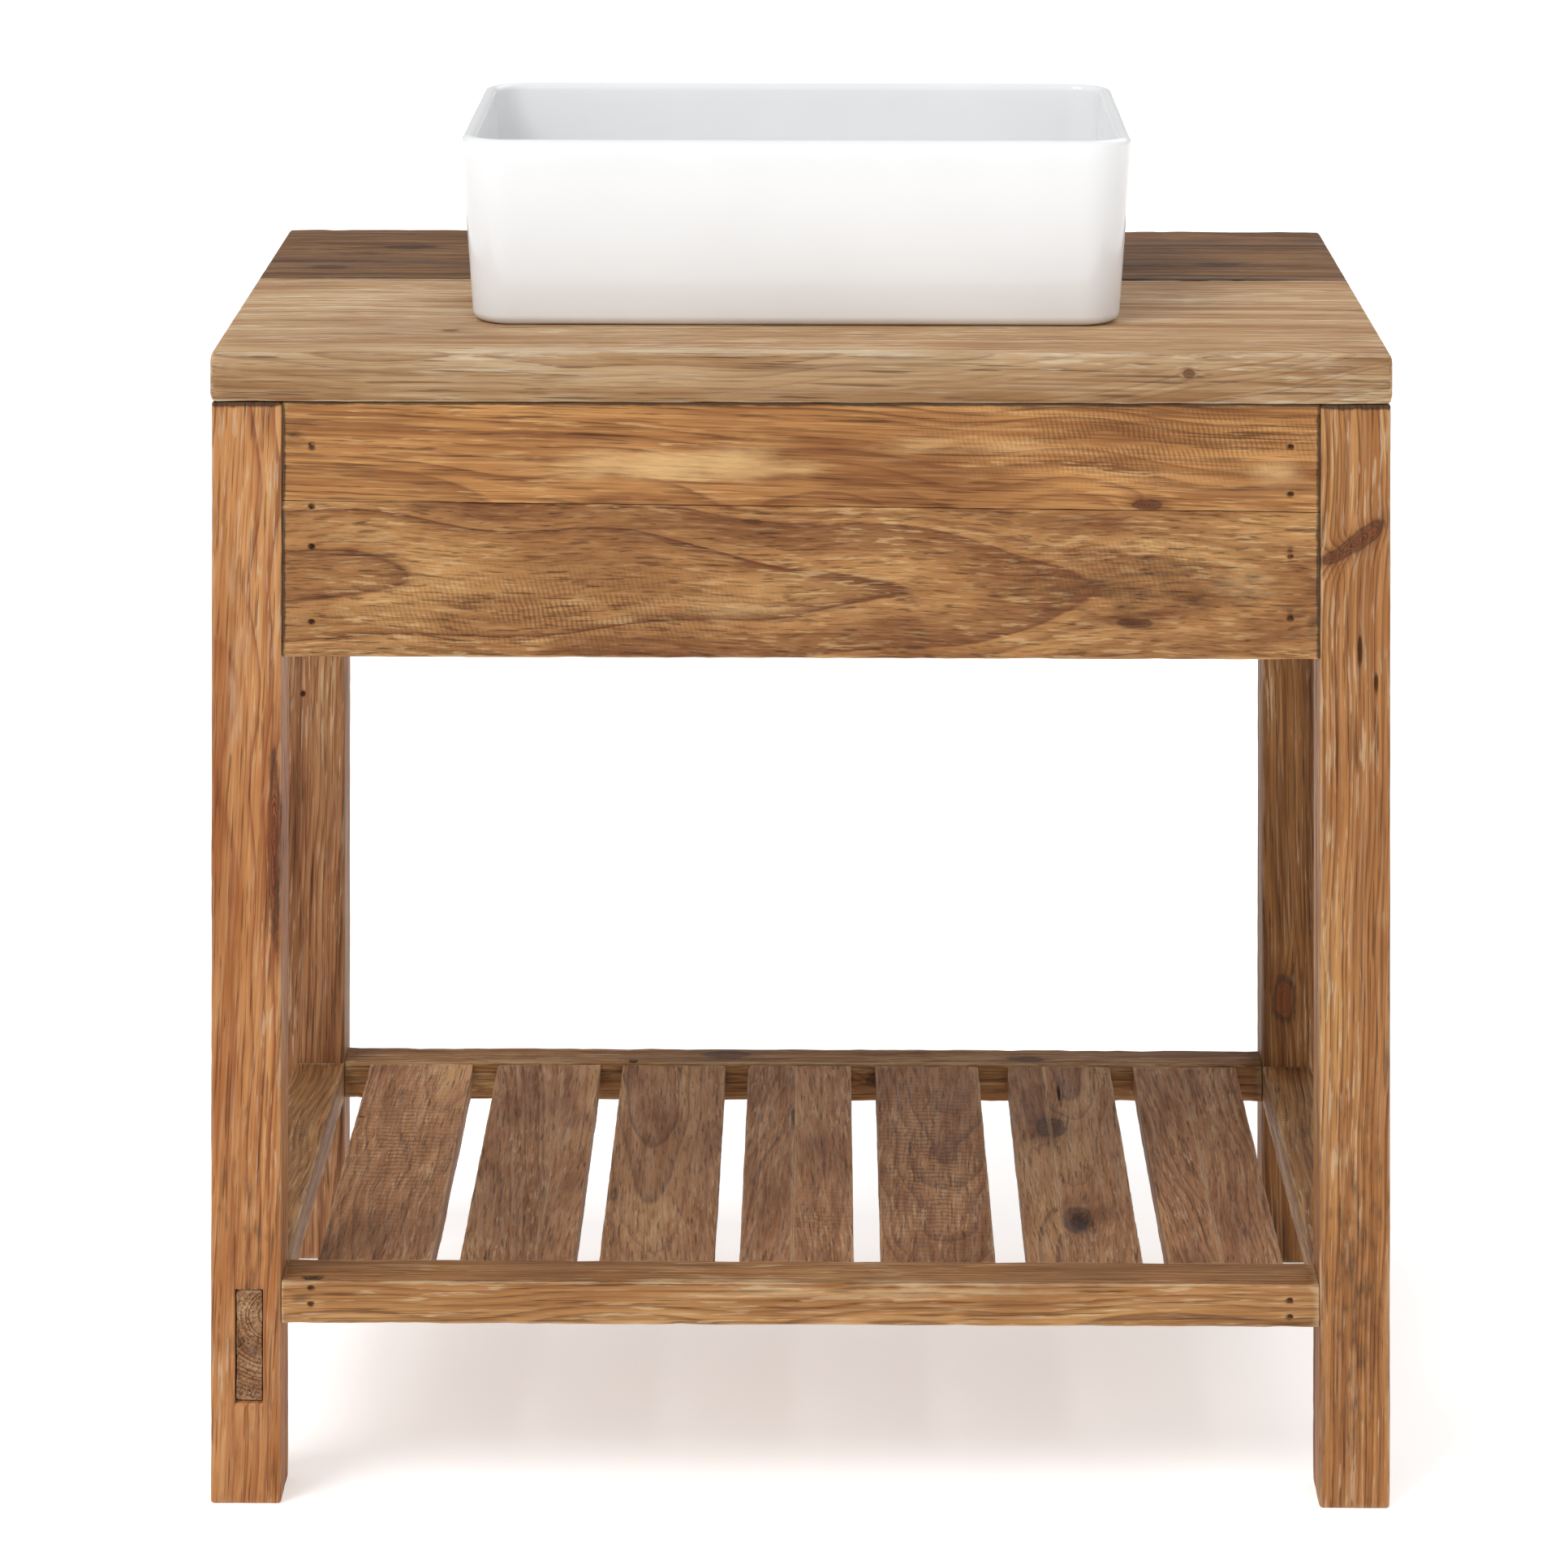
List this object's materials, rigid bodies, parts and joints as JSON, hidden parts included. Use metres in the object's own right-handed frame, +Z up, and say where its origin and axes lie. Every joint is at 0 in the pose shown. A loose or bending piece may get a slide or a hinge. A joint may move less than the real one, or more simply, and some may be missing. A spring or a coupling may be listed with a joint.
{
  "type": "washstand with vessel basin",
  "caption": "Open washstand in reclaimed pine: a thick top on square legs, boarded aprons, a slatted lower shelf and a white rectangular vessel basin with a push-down waste.",
  "frame": {"origin": "middle of the top's footprint, on the floor between the feet", "axes": "+X to the right seen from the front, +Y to the back (the wall side), +Z up"},
  "size_m": [0.8, 0.5, 0.91],
  "materials": {
    "pine_top_front": "waxed, brushed, worn pale edges",
    "pine_top_back": "waxed, brushed, darker old board",
    "leg_front_left": "waxed reclaimed pine, slanting red grain",
    "leg_front_right": "waxed reclaimed pine, straight fine grain",
    "leg_back_left": "waxed reclaimed pine with old nail holes",
    "leg_back_right": "waxed reclaimed pine with an orange knot",
    "rough_plug": "rough sawn, unsanded",
    "pine_apron_upper": "waxed, scrubbed, saw marks",
    "pine_apron_lower": "waxed, brushed cathedral grain",
    "pine_side": "waxed, brushed",
    "planed_pine": "planed, unfinished",
    "pine_rail": "waxed, fine straight grain",
    "pine_slat": "waxed, grey-brown, saw marked",
    "dark_steel": "dark oxidised steel",
    "beech_dowel": "fluted beech, unfinished",
    "zinc_steel": "zinc plated",
    "white_glaze": "glossy white glaze",
    "chrome": "polished chrome plate",
    "brass": "turned brass",
    "black_rubber": "matt moulded rubber",
    "white_plastic": "moulded plastic"
  },
  "bodies": {
    "stand": {"top_board_front": "pine_top_front", "top_board_back": "pine_top_back", "leg_front_left": "leg_front_left", "leg_front_right": "leg_front_right", "leg_back_left": "leg_back_left", "leg_back_right": "leg_back_right", "mortise_plug": "rough_plug", "apron_front_upper": "pine_apron_upper", "apron_front_lower": "pine_apron_lower", "apron_left_upper": "pine_side", "apron_left_lower": "pine_side", "apron_right_upper": "pine_side", "apron_right_lower": "pine_side", "back_rail_upper": "pine_side", "cleat_front": "planed_pine", "cleat_back": "planed_pine", "cleat_left": "planed_pine", "cleat_right": "planed_pine", "shelf_rail_front": "pine_rail", "shelf_rail_back": "pine_rail", "shelf_rail_left": "pine_rail", "shelf_rail_right": "pine_rail", "slat_1": "pine_slat", "slat_2_left": "pine_slat", "slat_2_right": "pine_slat", "slat_3": "pine_slat", "slat_4_left": "pine_slat", "slat_4_right": "pine_slat", "slat_5": "pine_slat", "slat_6_left": "pine_slat", "slat_6_right": "pine_slat", "slat_7_left": "pine_slat", "slat_7_right": "pine_slat", "apron_brads": "dark_steel", "shelf_brads": "dark_steel", "apron_dowels": "beech_dowel", "shelf_dowels": "beech_dowel", "top_screws": "zinc_steel", "cleat_screws": "zinc_steel", "rail_nail": "dark_steel", "basin": "white_glaze", "waste_body": "chrome", "waste_cartridge": "brass", "flange_seal": "black_rubber", "under_seal": "black_rubber", "under_washer": "white_plastic", "waste_nut": "brass"},
    "plug": {"waste_plug": "chrome", "plug_ring": "black_rubber"}
  },
  "joints": [
    {"name": "plug_slide", "type": "slide", "parent": "stand", "child": "plug", "axis": [0, 0, 1], "range_m": [0, 0.009]}
  ]
}
